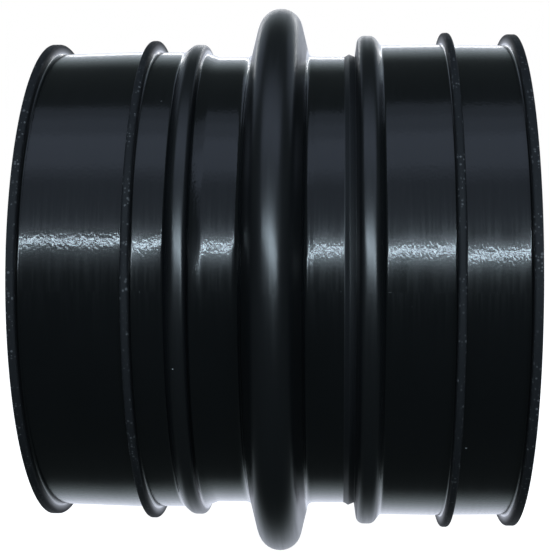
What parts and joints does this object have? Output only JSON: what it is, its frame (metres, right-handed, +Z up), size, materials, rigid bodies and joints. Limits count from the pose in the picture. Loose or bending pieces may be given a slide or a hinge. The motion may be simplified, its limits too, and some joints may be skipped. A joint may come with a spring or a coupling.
{
  "type": "pipe coupling",
  "caption": "Slip-on rubber pipe sleeve with one rounded expansion arch, a plain collar each side for a clamp, and slightly different bores at its two ends.",
  "frame": {"origin": "on the axis of the bore, half way along the sleeve", "axes": "+X along the bore axis towards the larger end, +Z up with the pipe level"},
  "size_m": [0.1112, 0.1326, 0.1326],
  "materials": {
    "cover_rubber": "smooth, glossy black",
    "bore_rubber": "smooth, satin black",
    "outer_ply_fabric": "woven, rubbered",
    "inner_ply_fabric": "woven, rubbered",
    "ring_steel": "drawn wire"
  },
  "bodies": {
    "left_sleeve": {"left_inner_tube": "bore_rubber", "left_inner_ply": "inner_ply_fabric", "left_outer_ply": "outer_ply_fabric", "left_cover": "cover_rubber", "left_body_ring": "ring_steel"},
    "left_arch": {"left_arch_inner_tube": "bore_rubber", "left_arch_inner_ply": "inner_ply_fabric", "left_arch_outer_ply": "outer_ply_fabric", "left_arch_cover": "cover_rubber"},
    "right_arch": {"right_arch_inner_tube": "bore_rubber", "right_arch_inner_ply": "inner_ply_fabric", "right_arch_outer_ply": "outer_ply_fabric", "right_arch_cover": "cover_rubber"},
    "right_sleeve": {"right_inner_tube": "bore_rubber", "right_inner_ply": "inner_ply_fabric", "right_outer_ply": "outer_ply_fabric", "right_cover": "cover_rubber", "right_body_ring": "ring_steel"}
  },
  "joints": [
    {"name": "left_foot_bend", "type": "hinge", "parent": "left_sleeve", "child": "left_arch", "pos_m": [-0.0081, 0, 0], "axis": [0, 1, 0], "range_deg": [-2.5, 2.5], "stiffness_Nm_per_rad": 28, "deforming": ["left_arch_inner_tube", "left_arch_inner_ply", "left_arch_outer_ply", "left_arch_cover"]},
    {"name": "arch_travel", "type": "slide", "parent": "left_arch", "child": "right_arch", "axis": [1, 0, 0], "range_m": [-0.005, 0.003], "stiffness_N_per_m": 10000, "deforming": ["left_arch_inner_tube", "left_arch_inner_ply", "left_arch_outer_ply", "left_arch_cover", "right_arch_inner_tube", "right_arch_inner_ply", "right_arch_outer_ply", "right_arch_cover"]},
    {"name": "right_foot_bend", "type": "hinge", "parent": "right_arch", "child": "right_sleeve", "pos_m": [0.0081, 0, 0], "axis": [0, 1, 0], "range_deg": [-2.5, 2.5], "stiffness_Nm_per_rad": 28, "deforming": ["right_arch_inner_tube", "right_arch_inner_ply", "right_arch_outer_ply", "right_arch_cover"]}
  ],
  "couplings": [
    {"joint": "right_foot_bend", "follows": "left_foot_bend", "ratio": 1}
  ]
}
